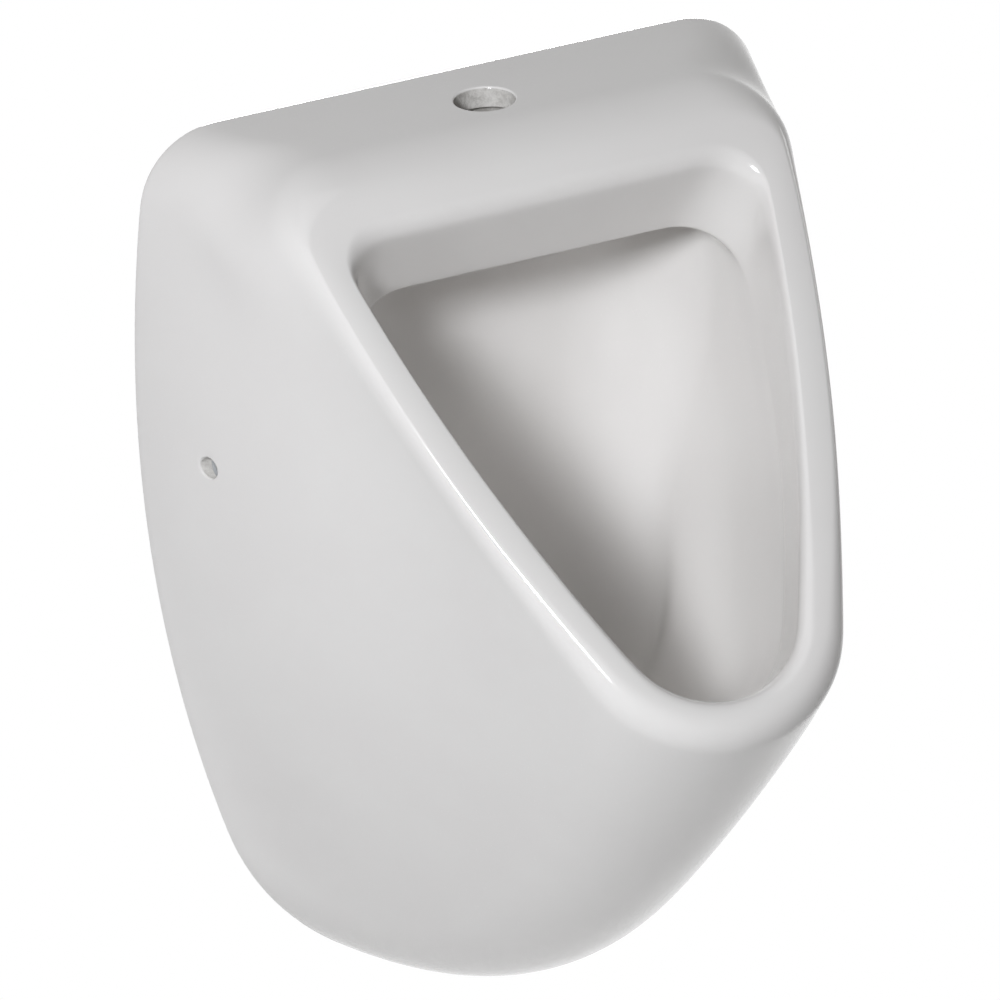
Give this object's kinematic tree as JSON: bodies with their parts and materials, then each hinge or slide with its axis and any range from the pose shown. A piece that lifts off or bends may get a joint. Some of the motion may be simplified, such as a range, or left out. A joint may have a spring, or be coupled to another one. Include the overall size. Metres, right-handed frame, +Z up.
{
  "type": "wall hung urinal",
  "caption": "Wall hung urinal: hollow vitreous china bowl with a sloping rim, top inlet hole, side fixing holes, lift-out strainer, bottle trap and wall brackets.",
  "frame": {"origin": "on the wall plane at the foot of the bowl's back outline, in the middle of its width", "axes": "+X to the right of someone facing the bowl, +Y into the wall, +Z up"},
  "size_m": [0.35, 0.3801, 0.485],
  "materials": {
    "glazed_china": "glossy white glaze",
    "polished_steel": "polished stainless steel",
    "black_rubber": "moulded rubber",
    "white_polypropylene": "satin moulded plastic",
    "galvanised_steel": "zinc plated steel",
    "grey_nylon": "moulded nylon"
  },
  "bodies": {
    "bowl": {"ceramic_body": "glazed_china", "waste_gasket_upper": "black_rubber", "drain_waste": "polished_steel", "waste_gasket_lower": "black_rubber", "waste_back_nut": "white_polypropylene", "trap_union_nut": "white_polypropylene", "trap_inlet_seal": "black_rubber", "trap_head": "white_polypropylene", "dip_tube": "white_polypropylene", "cup_seal": "black_rubber", "trap_cup": "white_polypropylene", "outlet_union_nut": "white_polypropylene", "outlet_seal": "black_rubber", "outlet_pipe": "white_polypropylene", "wall_outlet_seal": "black_rubber", "wall_bracket_left": "galvanised_steel", "washer_left": "galvanised_steel", "wall_screw_left": "galvanised_steel", "wall_plug_left": "grey_nylon", "side_screw_left": "galvanised_steel", "side_nut_left": "galvanised_steel", "side_bush_left": "grey_nylon", "wall_bracket_right": "galvanised_steel", "washer_right": "galvanised_steel", "wall_screw_right": "galvanised_steel", "wall_plug_right": "grey_nylon", "side_screw_right": "galvanised_steel", "side_nut_right": "galvanised_steel", "side_bush_right": "grey_nylon"},
    "strainer": {"strainer": "polished_steel"}
  },
  "joints": [
    {"name": "strainer_lift", "type": "slide", "parent": "bowl", "child": "strainer", "axis": [0, 0, 1], "range_m": [0, 0.06]}
  ]
}
